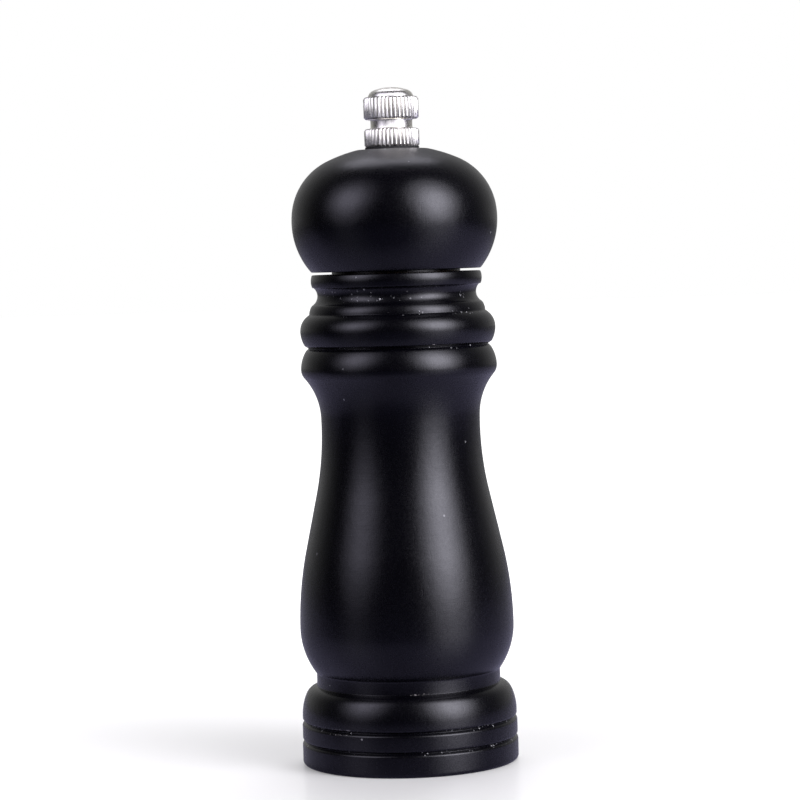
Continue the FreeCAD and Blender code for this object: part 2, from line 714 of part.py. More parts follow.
def spring():
    """Compression spring between the two washers."""
    body = new_body("spring")
    low = s.rotor_top + s.spring_washer_thickness
    high = s.spider_bottom - s.spring_washer_thickness
    wire = new_sketch(body, "wire")
    circles(wire, s.spring_wire / 2, x=s.spring_radius, y=low + s.spring_wire / 2)
    helix = feature(
        body, "AdditiveHelix", "coil", wire, ReferenceAxis=(wire, ["V_Axis"]), Mode="pitch-height-angle",
        Pitch=s.spring_pitch, Height=high - low - s.spring_wire,
    )
    body.Tip = helix
    return body


# ---------------------------------------------------------------- head, drive plate, shaft and knob


def head():
    body = new_body("head")
    outline = Outline(new_sketch(body, "outside"), ZERO, s.tenon_bottom)
    outline.line(s.tenon_radius - s.tenon_chamfer, s.tenon_bottom)
    outline.line(s.tenon_radius, s.tenon_bottom + s.tenon_chamfer)
    outline.line(s.tenon_radius, s.head_bottom)

    # The underside's edge is rounded tangent to the flat and to the low arc
    low = flat(s.head_radius - s.head_low_round, s.head_height)
    edge_y = s.head_bottom + s.head_edge_round
    edge_x = float(low.x) + reach(s.head_low_round - s.head_edge_round, edge_y - s.head_height)
    blend = beyond(low, flat(edge_x, edge_y), s.head_low_round)
    outline.line(edge_x, s.head_bottom, keep="y")
    outline.arc(blend.x, blend.y, s.head_edge_round, (edge_x, edge_y), "left", smooth=True)
    outline.arc(
        s.head_radius, s.head_height, s.head_low_round, (low.x, s.head_height), "left",
        keep="xy", keep_centre="y", smooth=True,
    )
    cheek = flat(s.head_radius - s.cheek_round, s.head_height)
    crown = flat(ZERO, s.crown_top - s.crown_round)
    brow = crossing(crown, s.crown_round - s.brow_round, cheek, s.cheek_round - s.brow_round)
    into_brow = beyond(cheek, brow, s.cheek_round)
    into_crown = beyond(crown, brow, s.crown_round)
    outline.arc(into_brow.x, into_brow.y, s.cheek_round, (cheek.x, s.head_height), "left", keep_centre="y")
    outline.arc(into_crown.x, into_crown.y, s.brow_round, (brow.x, brow.y), "left", smooth=True)
    seat = reach(s.crown_round, s.knob_seat - s.crown_top + s.crown_round)
    outline.arc(
        seat, s.knob_seat, s.crown_round, (ZERO, s.crown_top - s.crown_round), "left",
        keep="y", keep_centre="xy", smooth=True,
    )
    outline.line(ZERO, s.knob_seat)
    turned(body, "turning", outline.close())
    bore = circles(new_sketch(body, "bore_outline", "XY_Plane", s.tenon_bottom), s.head_bore_radius)
    cut_up(body, "bore", bore, s.knob_seat - s.tenon_bottom)
    pilot = new_sketch(body, "pilot", "XY_Plane", s.tenon_bottom)
    for side in (-1, 1):
        circles(pilot, s.plate_screw_radius + s.screw_play, x=s.plate_screw_circle * side)
    depth = s.plate_screw_length - s.plate_thickness + s.screw_play * 4
    cut_up(body, "pilot_holes", pilot, depth)
    return body


def drive_plate():
    """Steel plate under the tenon. Its square hole turns the shaft."""
    body = new_body("drive_plate")
    bottom = s.tenon_bottom - s.plate_thickness
    disc = circles(new_sketch(body, "disc", "XY_Plane", bottom), s.plate_radius)
    feature(body, "Pad", "plate", disc, Length=s.plate_thickness)
    under = bottom - s.plate_boss_height
    boss = circles(new_sketch(body, "boss_outline", "XY_Plane", under), s.plate_boss_radius)
    feature(body, "Pad", "boss", boss, Length=s.plate_boss_height)
    square = square_outline(new_sketch(body, "square", "XY_Plane", under), s.plate_square, ZERO)
    cut_up(body, "square_hole", square, s.plate_thickness + s.plate_boss_height)
    holes = new_sketch(body, "hole_outline", "XY_Plane", bottom)
    for side in (-1, 1):
        circles(holes, s.plate_screw_radius + s.screw_play, x=s.plate_screw_circle * side)
    cut_up(body, "holes", holes, s.plate_thickness)
    return body


def drive_shaft():
    """Square steel shaft with a round, grooved lower end and a threaded upper end."""
    body = new_body("drive_shaft")
    journal = circles(new_sketch(body, "journal_outline", "XY_Plane", s.journal_bottom), s.journal_radius)
    feature(body, "Pad", "journal", journal, Length=s.square_bottom - s.journal_bottom)
    square = new_sketch(body, "square_outline", "XY_Plane", s.square_bottom)
    length = s.square_top - s.square_bottom
    feature(body, "Pad", "square", square_outline(square, s.shaft_square, s.shaft_corner), Length=length)
    thread = polygon(
        new_sketch(body, "thread_outline"),
        (ZERO, s.square_top),
        (s.thread_radius, s.square_top),
        (s.thread_radius, s.thread_top - s.thread_chamfer),
        (s.thread_radius - s.thread_chamfer, s.thread_top),
        (ZERO, s.thread_top),
    )
    turned(body, "thread", thread)
    top = s.clip_groove_bottom + s.clip_groove_width
    groove = polygon(
        new_sketch(body, "groove_outline"),
        (s.clip_groove_radius, s.clip_groove_bottom),
        (s.journal_radius * 1.2, s.clip_groove_bottom),
        (s.journal_radius * 1.2, top),
        (s.clip_groove_radius, top),
    )
    turned(body, "clip_groove", groove, kind="Groove")
    return body


def adjusting_knob():
    """Two knurled bands with a smooth neck between them, and a low dome on top."""
    body = new_body("adjusting_knob")
    low = s.knob_seat + s.washer_thickness
    cut = s.knob_chamfer
    outline = Outline(new_sketch(body, "outside"), ZERO, low)
    for x, y in (
        (s.knob_radius - cut, low),
        (s.knob_radius, low + cut),
        (s.knob_radius, s.knob_low_top - cut),
        (s.knob_radius - cut, s.knob_low_top),
        (s.knob_neck_radius, s.knob_low_top),
        (s.knob_neck_radius, s.knob_high_bottom),
        (s.knob_radius - cut, s.knob_high_bottom),
        (s.knob_radius, s.knob_high_bottom + cut),
        (s.knob_radius, s.knob_high_top - cut),
        (s.knob_radius - cut, s.knob_high_top),
    ):
        outline.line(x, y)

    # Dome: a rounded edge, then a crown centred on the axis
    edge_x = s.dome_radius - s.dome_edge_round
    crown_y = s.knob_top - s.dome_round
    edge_y = crown_y + reach(s.dome_round - s.dome_edge_round, edge_x)
    foot = edge_x + reach(s.dome_edge_round, edge_y - s.knob_high_top)
    outline.line(foot, s.knob_high_top, keep="y")
    meet = beyond(flat(ZERO, crown_y), flat(edge_x, edge_y), s.dome_round)
    outline.arc(meet.x, meet.y, s.dome_edge_round, (edge_x, edge_y), "left", keep_centre="x")
    outline.arc(
        ZERO, s.knob_top, s.dome_round, (ZERO, crown_y), "left", keep="x", keep_centre="xy", smooth=True
    )
    turned(body, "turning", outline.close())

    deep = s.knob_radius - s.knurl_depth
    proud = s.knob_radius + s.knurl_depth / 2
    wide = s.knurl_half_width * 1.5
    knurl = polygon(
        new_sketch(body, "knurl_outline", "XY_Plane", low),
        (deep, ZERO),
        (proud, ZERO - wide),
        (proud, wide),
    )
    around(body, "knurl", cut_up(body, "knurl_groove", knurl, s.knob_high_top - low), s.knurl_count)
    bore = circles(new_sketch(body, "bore_outline", "XY_Plane", low), s.knob_bore_radius)
    cut_up(body, "bore", bore, s.knob_bore_top - low)
    return body


# ---------------------------------------------------------------- screws


def pan_screw(name, length, radius, head_radius, top, circle, angle):
    """A cross-recessed pan-head screw driven upwards, with its head's flat at the height top."""
    body = new_body(name)
    rounded = s.screw_head_round
    outline = Outline(new_sketch(body, "section"), ZERO, ZERO - s.screw_head_height)
    outline.line(head_radius - rounded, ZERO - s.screw_head_height)
    outline.arc(
        head_radius, rounded - s.screw_head_height, rounded,
        (head_radius - rounded, rounded - s.screw_head_height), "left", keep="xy",
    )
    outline.line(head_radius, ZERO)
    outline.line(radius, ZERO)
    outline.line(radius, length - s.screw_tip)
    outline.line(s.screw_tip_radius, length)
    outline.line(ZERO, length)
    turned(body, "turning", outline.close())
    arm = s.recess_width / 2
    reach_out = head_radius * 0.6
    back, far = ZERO - arm, ZERO - reach_out
    recess = polygon(
        new_sketch(body, "recess_outline", "XY_Plane", ZERO - s.screw_head_height),
        (far, back), (back, back), (back, far), (arm, far), (arm, back), (reach_out, back),
        (reach_out, arm), (arm, arm), (arm, reach_out), (back, reach_out), (back, arm), (far, arm),
    )
    cut_up(body, "recess", recess, s.recess_depth)
    x = circle.formula + f" * cos({angle} deg)"
    y = circle.formula + f" * sin({angle} deg)"
    body.setExpression(".Placement.Base.x", x)
    body.setExpression(".Placement.Base.y", y)
    body.setExpression(".Placement.Base.z", top.formula)
    return body


# ---------------------------------------------------------------- assemble, check and write

plate_under = s.tenon_bottom - s.plate_thickness
clip_top = s.clip_groove_bottom + s.clip_thickness
washer = s.spring_washer_thickness
spring_top = s.spider_bottom - washer
retainer_height = s.retainer_top - s.flange_bottom

bodies = [
    mill_body(),
    burr_carrier(),
    stator_ring(),
    ring("stator_retainer", s.retainer_radius, s.retainer_bore, s.flange_bottom, retainer_height),
    rotor_burr(),
    ring("lower_spring_washer", s.spring_washer_radius, s.spring_washer_bore, s.rotor_top, washer),
    spring(),
    ring("upper_spring_washer", s.spring_washer_radius, s.spring_washer_bore, spring_top, washer),
    ring("rotor_washer", s.rotor_washer_radius, s.rotor_washer_bore, clip_top, s.rotor_bottom - clip_top),
    retaining_clip(),
    drive_shaft(),
    head(),
    drive_plate(),
    ring("knob_washer", s.washer_radius, s.washer_bore, s.knob_seat, s.washer_thickness),
    adjusting_knob(),
]
for number in range(3):
    bodies.append(
        pan_screw(
            f"carrier_screw_{number + 1}",
            s.carrier_screw_length,
            s.carrier_screw_radius,
            s.carrier_screw_head,
            s.flange_bottom,
            s.carrier_screw_circle,
            number * 120,
        )
    )
for number in range(2):
    bodies.append(
        pan_screw(
            f"plate_screw_{number + 1}",
            s.plate_screw_length,
            s.plate_screw_radius,
            s.plate_screw_head,
            plate_under,
            s.plate_screw_circle,
            number * 180,
        )
    )
doc.recompute()

for thing in doc.Objects:
    if "Invalid" in thing.State or "Error" in thing.State:
        raise RuntimeError(f"{thing.Name} did not rebuild: {thing.State}")
os.makedirs("parts", exist_ok=True)
for body in bodies:
    shape = body.Shape
    if shape.isNull() or not shape.isValid() or len(shape.Solids) != 1:
        raise RuntimeError(f"{body.Label} is not one valid solid")
    shape.exportStep(f"parts/{body.Label}.step")
    box = shape.optimalBoundingBox(False, False)
    print(f"{body.Label}: {shape.Volume:.1f} mm3, z {box.ZMin:.2f} to {box.ZMax:.2f}")
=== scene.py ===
"""Looks of the turned pepper mill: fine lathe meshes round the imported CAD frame, lacquer, metal and light.

Everything is in metres in the CAD frame: +Z up the mill's axis, origin under the foot. The outlines, the
spring and the shaft are worked out in millimetres and are scaled once, where each mesh is made.
"""

import json
import math

import bpy
import numpy as np
from mathutils import Matrix, Vector


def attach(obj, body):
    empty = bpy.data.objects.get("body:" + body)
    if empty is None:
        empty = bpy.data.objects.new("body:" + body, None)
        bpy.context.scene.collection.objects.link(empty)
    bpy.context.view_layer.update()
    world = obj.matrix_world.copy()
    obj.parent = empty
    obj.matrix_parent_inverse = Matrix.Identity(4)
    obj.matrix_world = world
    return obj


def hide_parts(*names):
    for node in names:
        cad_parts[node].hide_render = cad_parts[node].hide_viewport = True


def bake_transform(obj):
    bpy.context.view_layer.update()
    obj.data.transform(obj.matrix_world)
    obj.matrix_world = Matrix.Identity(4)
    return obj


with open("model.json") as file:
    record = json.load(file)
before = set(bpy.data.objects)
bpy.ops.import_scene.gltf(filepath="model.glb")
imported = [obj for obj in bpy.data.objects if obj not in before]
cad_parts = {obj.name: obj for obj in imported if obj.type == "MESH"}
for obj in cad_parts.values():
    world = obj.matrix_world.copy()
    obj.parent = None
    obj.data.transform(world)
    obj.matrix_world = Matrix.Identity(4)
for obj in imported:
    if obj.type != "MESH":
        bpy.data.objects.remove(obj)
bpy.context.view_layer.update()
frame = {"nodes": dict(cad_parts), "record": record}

MM = 0.001
TAU = 2 * math.pi


# ---------------------------------------------------------------- outlines (radius, height) in mm


def crossing(one, reach_one, two, reach_two):
    """The point at the given distances from two centres, to the right of the way from one to two."""
    dx, dy = two[0] - one[0], two[1] - one[1]
    gap = math.hypot(dx, dy)
    along = (reach_one**2 - reach_two**2 + gap**2) / (2 * gap)
    aside = math.sqrt(reach_one**2 - along**2)
    dx, dy = dx / gap, dy / gap
    return one[0] + dx * along + dy * aside, one[1] + dy * along - dx * aside


def beyond(centre, through, distance):
    """The point at a distance from centre on the ray to another point."""
    dx, dy = through[0] - centre[0], through[1] - centre[1]
    gap = math.hypot(dx, dy)
    return centre[0] + dx / gap * distance, centre[1] + dy / gap * distance


def reach(radius, rise):
    """How far out a circle still is at a height of rise from its centre."""
    return math.sqrt(radius**2 - rise**2)


def bulge(radius, height, size):
    """Centre of an arc of that size whose widest point is at radius, height."""
    return radius - size, height


def at_height(centre, size, height):
    """The point at a height on the outer side of an arc."""
    return centre[0] + reach(size, height - centre[1]), height


class Outline:
    """A closed outline of straight and curved edges, sampled finely, that remembers its corners."""

    ARC_STEP = 0.4
    LINE_STEP = 2.4
    LARGEST_TURN = math.radians(7)

    def __init__(self, radius, height):
        self.points = [(radius, height)]
        self.corners = {0: 0.0}

    def line(self, radius, height, soft=0.0, smooth=False):
        """A straight edge. soft rounds the corner where it ends, by that much each way.

        smooth says that there is no corner there, because the next edge goes on in line.
        """
        r, h = self.points[-1]
        count = max(1, round(math.hypot(radius - r, height - h) / self.LINE_STEP))
        for i in range(1, count + 1):
            self.points.append((r + (radius - r) * i / count, h + (height - h) * i / count))
        if not smooth:
            self.corners[len(self.points) - 1] = soft

    def arc(self, centre, radius, height, turn, soft=0.0, smooth=False):
        """An arc about centre to radius, height, with the same soft and smooth."""
        r, h = self.points[-1]
        size = math.hypot(r - centre[0], h - centre[1])
        first = math.atan2(h - centre[1], r - centre[0])
        last = math.atan2(height - centre[1], radius - centre[0])
        sweep = (last - first) % TAU if turn == "left" else -((first - last) % TAU)
        for_length = math.ceil(abs(sweep) * size / self.ARC_STEP)
        count = max(3, for_length, math.ceil(abs(sweep) / self.LARGEST_TURN))
        for i in range(1, count):
            a = first + sweep * i / count
            self.points.append((centre[0] + size * math.cos(a), centre[1] + size * math.sin(a)))
        self.points.append((radius, height))
        if not smooth:
            self.corners[len(self.points) - 1] = soft


def softened(outline):
    """The outline's points, with each soft corner rounded."""
    points = outline.points
    spans = [math.dist(a, b) for a, b in zip(points, points[1:] + points[:1])]
    start = [0.0]
    for span in spans:
        start.append(start[-1] + span)
    total = start[-1]
    soft_corners = [(start[i], soft) for i, soft in outline.corners.items() if soft > 0]

    def at(distance):
        """The point at a distance along the outline."""
        distance %= total
        i = max(0, int(np.searchsorted(start, distance, side="right")) - 1)
        i = min(i, len(points) - 1)
        t = (distance - start[i]) / max(spans[i], 1e-9)
        a, b = points[i], points[(i + 1) % len(points)]
        return a[0] + (b[0] - a[0]) * t, a[1] + (b[1] - a[1]) * t

    def rounded_away(distance):
        """Whether the nearest soft corner's rounding takes the place of a point there."""
        gaps = ((abs((distance - s + total / 2) % total - total / 2), soft) for s, soft in soft_corners)
        gap, soft = min(gaps)
        return gap < soft * 0.98

    made = []
    for i, point in enumerate(points):
        soft = outline.corners.get(i, 0.0)
        if soft > 0:
            before, after = at(start[i] - soft), at(start[i] + soft)
            for t in np.linspace(0.0, 1.0, 6):
                a, b, c = (1 - t) ** 2, 2 * t * (1 - t), t * t
                made.append(tuple(a * p + b * q + c * r for p, q, r in zip(before, point, after)))
        elif i in outline.corners or not rounded_away(start[i]):
            made.append(point)
    return made


# Radius and height of the body's main members, in mm.
FOOT = (26.5, 0.0)
OGEE = (26.3, 12.2)
WAIST = (22.5, 19.3)
BELLY = (26.2, 33.6)
NECK = (19.4, 82.5)
SHOULDER_BEAD = (23.95, 96.8)
COLLAR_BEAD = (23.85, 106.2)
COVE = (19.38, 114.75)
RIM_BAND = (20.88, 118.3)
RIM_HEIGHT = 119.85
RECESS_RADIUS, RECESS_TOP = 20.0, 10.0


def add_foot(o):
    """The foot's side with its two V grooves."""
    corner, groove_half, groove_depth = 1.1, 0.6, 0.75
    o.line(FOOT[0] - corner, 0.0)
    o.arc((FOOT[0] - corner, corner), FOOT[0], corner, "left", smooth=True)
    for middle, below, above in ((5.85, 26.5, 26.4), (10.6, 26.4, 26.3)):
        o.line(below, middle - groove_half, soft=0.35)
        o.line(below - groove_depth, middle, soft=0.12)
        o.line(above, middle + groove_half, soft=0.35)


def add_ogee(o):
    """The foot's rounded top, which curls in to the waist."""
    side_round, crest_round = 12.5, 3.5
    side = bulge(*OGEE, side_round)
    crest = crossing(side, side_round - crest_round, WAIST, crest_round)
    o.line(*OGEE, smooth=True)
    o.arc(side, *beyond(side, crest, side_round), "left", smooth=True)
    o.arc(crest, *WAIST, "left", soft=0.12)


def add_belly_and_neck(o):
    """The long S curve from the waist over the belly and the neck to the shoulder bead's widest point."""
    low_round, high_round, neck_round, flare_round, bead_round = 18.7, 88.0, 77.0, 15.7, 3.1
    low = bulge(*BELLY, low_round)
    o.line(WAIST[0], BELLY[1] - reach(low_round, WAIST[0] - low[0]), soft=0.3)
    o.arc(low, *BELLY, "left", smooth=True)

    high, neck = bulge(*BELLY, high_round), (NECK[0] + neck_round, NECK[1])
    lean = math.atan2(neck[1] - high[1], neck[0] - high[0])
    lean -= math.acos((high_round + neck_round) / math.dist(high, neck))
    leave = (high[0] + high_round * math.cos(lean), high[1] + high_round * math.sin(lean))
    arrive = (neck[0] - neck_round * math.cos(lean), neck[1] - neck_round * math.sin(lean))
    o.arc(high, *leave, "left", smooth=True)
    o.line(*arrive, smooth=True)

    bead = bulge(*SHOULDER_BEAD, bead_round)
    flare = crossing(bead, flare_round + bead_round, neck, neck_round - flare_round)
    o.arc(neck, *beyond(neck, flare, neck_round), "right", smooth=True)
    o.arc(flare, *beyond(bead, flare, bead_round), "right", smooth=True)
    o.arc(bead, *SHOULDER_BEAD, "left", smooth=True)


def add_beads(o):
    """From the shoulder bead over the V groove and the collar bead to the cove's lip."""
    shoulder_round, collar_low_round, collar_high_round, lip_round = 8.5, 7.0, 4.6, 3.5
    groove_half, groove_floor = 0.6, (21.9, 102.05)
    top = bulge(*SHOULDER_BEAD, shoulder_round)
    o.arc(top, *at_height(top, shoulder_round, groove_floor[1] - groove_half), "left", soft=0.3)
    o.line(*groove_floor, soft=0.12)
    collar = bulge(*COLLAR_BEAD, collar_low_round)
    o.line(*at_height(collar, collar_low_round, groove_floor[1] + groove_half), soft=0.3)
    o.arc(collar, *COLLAR_BEAD, "left", smooth=True)
    collar = bulge(*COLLAR_BEAD, collar_high_round)
    crease = at_height(collar, collar_high_round, 110.2)
    o.arc(collar, *crease, "left", soft=0.1)
    cove, cove_round = cove_arc()
    lip = (cove[0] - reach(cove_round, cove[1] - 112.4), 112.4)
    o.arc(crossing(lip, lip_round, crease, lip_round), *lip, "left", soft=0.25)


def cove_arc():
    """Centre and size of the hollow under the rim band."""
    size = 2.7
    return (COVE[0] + size, COVE[1]), size


def add_cove_and_rim(o):
    """The cove and the band that ends the body at the head."""
    band_round, band_foot = 4.0, 116.7
    cove, cove_round = cove_arc()
    o.arc(cove, cove[0] - reach(cove_round, band_foot - cove[1]), band_foot, "right", soft=0.1)
    band = bulge(*RIM_BAND, band_round)
    o.line(*at_height(band, band_round, band_foot), soft=0.2)
    o.arc(band, *at_height(band, band_round, RIM_HEIGHT), "left", soft=0.25)


def add_bores(o):
    """The socket for the head's tenon, the chamber, the carrier's bore and the recess under the foot."""
    socket, socket_floor, chamber, chamber_floor, carrier = 15.8, 109.45, 13.5, 33.0, 14.5
    o.line(socket, RIM_HEIGHT, soft=0.2)
    o.line(socket, socket_floor)
    o.line(chamber, socket_floor, soft=0.2)
    o.line(chamber, chamber_floor)
    o.line(carrier, chamber_floor)
    o.line(carrier, RECESS_TOP)
    o.line(RECESS_RADIUS, RECESS_TOP)
    o.line(RECESS_RADIUS, 0.0, soft=0.3)


def body_outline():
    """Outside of the wooden body from the foot up, then back down through its bores."""
    o = Outline(RECESS_RADIUS, 0.0)
    for add in (add_foot, add_ogee, add_belly_and_neck, add_beads, add_cove_and_rim, add_bores):
        add(o)
    return o


HEAD_FOOT, HEAD_TOP, SHAFT_BORE = 120.5, 149.9, 4.4


def head_outline():
    """Outside of the head, its tenon and the bore for the shaft."""
    tenon, tenon_end, chamfer = 15.7, 110.7, 0.6
    widest, edge_round = (25.1, 132.7), 0.5
    low_round, cheek_round, brow_round, crown_round = 19.0, 21.0, 15.5, 38.5
    crown = (0.0, 150.9 - crown_round)

    o = Outline(SHAFT_BORE, tenon_end)
    o.line(tenon - chamfer, tenon_end)
    o.line(tenon, tenon_end + chamfer)
    o.line(tenon, HEAD_FOOT, soft=0.1)
    low = bulge(*widest, low_round)
    edge = at_height(low, low_round - edge_round, HEAD_FOOT + edge_round)
    o.line(edge[0], HEAD_FOOT, smooth=True)
    o.arc(edge, *beyond(low, edge, low_round), "left", smooth=True)
    o.arc(low, *widest, "left", smooth=True)
    cheek = bulge(*widest, cheek_round)
    brow = crossing(crown, crown_round - brow_round, cheek, cheek_round - brow_round)
    o.arc(cheek, *beyond(cheek, brow, cheek_round), "left", smooth=True)
    o.arc(brow, *beyond(crown, brow, crown_round), "left", smooth=True)
    o.arc(crown, *at_height(crown, crown_round, HEAD_TOP), "left", soft=0.2)
    o.line(SHAFT_BORE, HEAD_TOP)
    o.line(SHAFT_BORE, tenon_end)
    return o


KNOB_RADIUS, KNOB_FOOT, KNOB_TOP = 6.7, 150.5, 165.0
KNURL_DEPTH = 0.45


def knob_outline():
    """Outside of the knob, from its flat underside over the dome, and back down its blind bore."""
    neck, bore, bore_top, chamfer = 5.1, 2.55, 161.8, 0.45
    low_band_top, high_band_foot, high_band_top = 154.9, 157.2, 162.6
    dome, dome_round, edge_round = 5.6, 12.0, 2.2
    flat = KNOB_RADIUS - chamfer

    o = Outline(bore, KNOB_FOOT)
    o.line(flat, KNOB_FOOT)
    o.line(KNOB_RADIUS, KNOB_FOOT + chamfer)
    o.line(KNOB_RADIUS, low_band_top - chamfer)
    o.line(flat, low_band_top, soft=0.12)
    o.line(neck, low_band_top, soft=0.45)
    o.line(neck, high_band_foot, soft=0.45)
    o.line(flat, high_band_foot, soft=0.12)
    o.line(KNOB_RADIUS, high_band_foot + chamfer)
    o.line(KNOB_RADIUS, high_band_top - chamfer)
    o.line(flat, high_band_top, soft=0.1)
    crown = (0.0, KNOB_TOP - dome_round)
    edge = (dome - edge_round, crown[1] + reach(dome_round - edge_round, dome - edge_round))
    o.line(*at_height(edge, edge_round, high_band_top), soft=0.15)
    o.arc(edge, *beyond(crown, edge, dome_round), "left", smooth=True)
    o.arc(crown, 0.0, KNOB_TOP, "left", smooth=True)
    o.line(0.0, bore_top)
    o.line(bore, bore_top)
    o.line(bore, KNOB_FOOT)
    return o


# ---------------------------------------------------------------- meshes


def as_object(name, vertices, faces, crease_angle=32.0):
    """A smooth-shaded object in metres, with sharp edges where its faces meet at more than crease_angle."""
    mesh = bpy.data.meshes.new(name)
    mesh.from_pydata([tuple(c * MM for c in v) for v in vertices], [], faces)
    mesh.validate()
    mesh.shade_smooth()
    mesh.set_sharp_from_angle(angle=math.radians(crease_angle))
    obj = bpy.data.objects.new(name, mesh)
    bpy.context.scene.collection.objects.link(obj)
    return obj


def lathe(name, outline, segments, shape=None, crease_angle=32.0):
    """Turns an outline about the Z axis. shape(radius, height, turn) may change a radius as it goes."""
    points = softened(outline)
    if points[0] == points[-1]:
        points.pop()
    vertices, rings = [], []
    for radius, height in points:
        if radius < 1e-6:
            rings.append([len(vertices)] * segments)
            vertices.append((0.0, 0.0, height))
            continue
        ring = []
        for i in range(segments):
            turn = i / segments
            r = shape(radius, height, turn) if shape else radius
            ring.append(len(vertices))
            vertices.append((r * math.cos(turn * TAU), r * math.sin(turn * TAU), height))
        rings.append(ring)
    faces = []
    for low, high in zip(rings, rings[1:] + rings[:1]):
        if low[0] == low[1] and high[0] == high[1]:
            continue
        for i in range(segments):
            j = (i + 1) % segments
            corner = [low[i], low[j], high[j], high[i]]
            if low[0] == low[1]:
                corner = [low[i], high[j], high[i]]
            elif high[0] == high[1]:
                corner = [low[i], low[j], high[i]]
            faces.append(corner)
    return as_object(name, vertices, faces, crease_angle)


def knurled(radius, height, turn):
    """Cuts the knob's upright V grooves into whatever stands out far enough."""
    count, half_width = 40, 0.38
    pitch = TAU * KNOB_RADIUS / count
    off = abs((turn * count) % 1.0 - 0.5) * pitch
    floor = KNOB_RADIUS - KNURL_DEPTH * max(0.0, 1.0 - off / half_width)
    return min(radius, floor)


def tube_faces(rings, sides):
    """Faces round a tube of stacked rings of vertices, with a face on each end."""
    faces = [list(range(sides))[::-1], [(rings - 1) * sides + k for k in range(sides)]]
    for i in range(rings - 1):
        for k in range(sides):
            n = (k + 1) % sides
            faces.append([i * sides + k, i * sides + n, (i + 1) * sides + n, (i + 1) * sides + k])
    return faces


def wire_along(path, radius, sides=16):
    """Vertices and faces of a round wire along a path of points that circles the Z axis."""
    path = np.asarray(path, float)
    along = np.gradient(path, axis=0)
    along /= np.linalg.norm(along, axis=1)[:, None]
    outward = path * (1.0, 1.0, 0.0)
    outward /= np.linalg.norm(outward, axis=1)[:, None]
    upward = np.cross(along, outward)
    vertices = []
    for centre, out, up in zip(path, outward, upward):
        for k in range(sides):
            a = k / sides * TAU
            vertices.append(tuple(centre + radius * (math.cos(a) * out + math.sin(a) * up)))
    return vertices, tube_faces(len(path), sides)


def coil_spring():
    """Compression spring with closed, ground end coils, between its two washers."""
    low, high, radius, wire = 19.9, 28.9, 4.45, 0.8
    turns, closed, points_per_turn = 6.2, 1.0, 56
    ground_height = wire * 0.42
    first, last = low + ground_height, high - ground_height
    path = []
    for i in range(int(turns * points_per_turn) + 1):
        t = i / points_per_turn
        height = np.interp(t, [0, closed, turns - closed, turns], [first, first + wire, last - wire, last])
        path.append((radius * math.cos(t * TAU), radius * math.sin(t * TAU), height))
    vertices, faces = wire_along(path, wire / 2)
    ground = [(x, y, min(max(z, low), high)) for x, y, z in vertices]
    return as_object("spring_coil", ground, faces, crease_angle=50.0)


def threaded_shaft():
    """Round grooved end, chamfered square, and a real M5 x 0.8 thread with lead-in."""
    sides, across, corner = 96, 5.5, 0.45
    major, pitch, depth = 2.5, 0.8, 0.46
    square_foot, square_top, tip = 8.3, 147.5, 160.0
    square_steps, thread_step = 24, 0.05
    round_end = ((5.6, 2.1), (5.9, 2.5), (6.4, 2.5), (6.4, 2.0), (7.2, 2.0), (7.2, 2.5), (square_foot, 2.5))

    def round_part(radius):
        return lambda turn, height: radius

    def square_part(turn, height):
        x, y = abs(math.cos(turn * TAU)), abs(math.sin(turn * TAU))
        return min(across / 2 / max(x, y), (across - corner) / (x + y))

    def thread(turn, height):
        phase = ((height - square_top) / pitch - turn) % 1.0
        ridge = min(max(abs(phase - 0.5) * 2.5 - 0.12, 0.0), 1.0)
        fade = min(max((height - square_top - 0.4) / pitch, 0.0), 1.0)
        lead_in = major - max(height - (tip - 0.6), 0.0)
        return min(major - depth * ridge * fade, lead_in)

    rows = [(height, round_part(radius)) for height, radius in round_end]
    rise = (square_top - square_foot) / square_steps
    rows += [(square_foot + rise * i, square_part) for i in range(square_steps + 1)]
    thread_steps = round((tip - square_top) / thread_step)
    rows += [(square_top + thread_step * i, thread) for i in range(thread_steps + 1)]
    vertices = []
    for height, radius_at in rows:
        for k in range(sides):
            turn = (k + 0.5) / sides
            r = radius_at(turn, height)
            vertices.append((r * math.cos(turn * TAU), r * math.sin(turn * TAU), height))
    return as_object("shaft_threaded", vertices, tube_faces(len(rows), sides), crease_angle=28.0)


# ---------------------------------------------------------------- node helpers


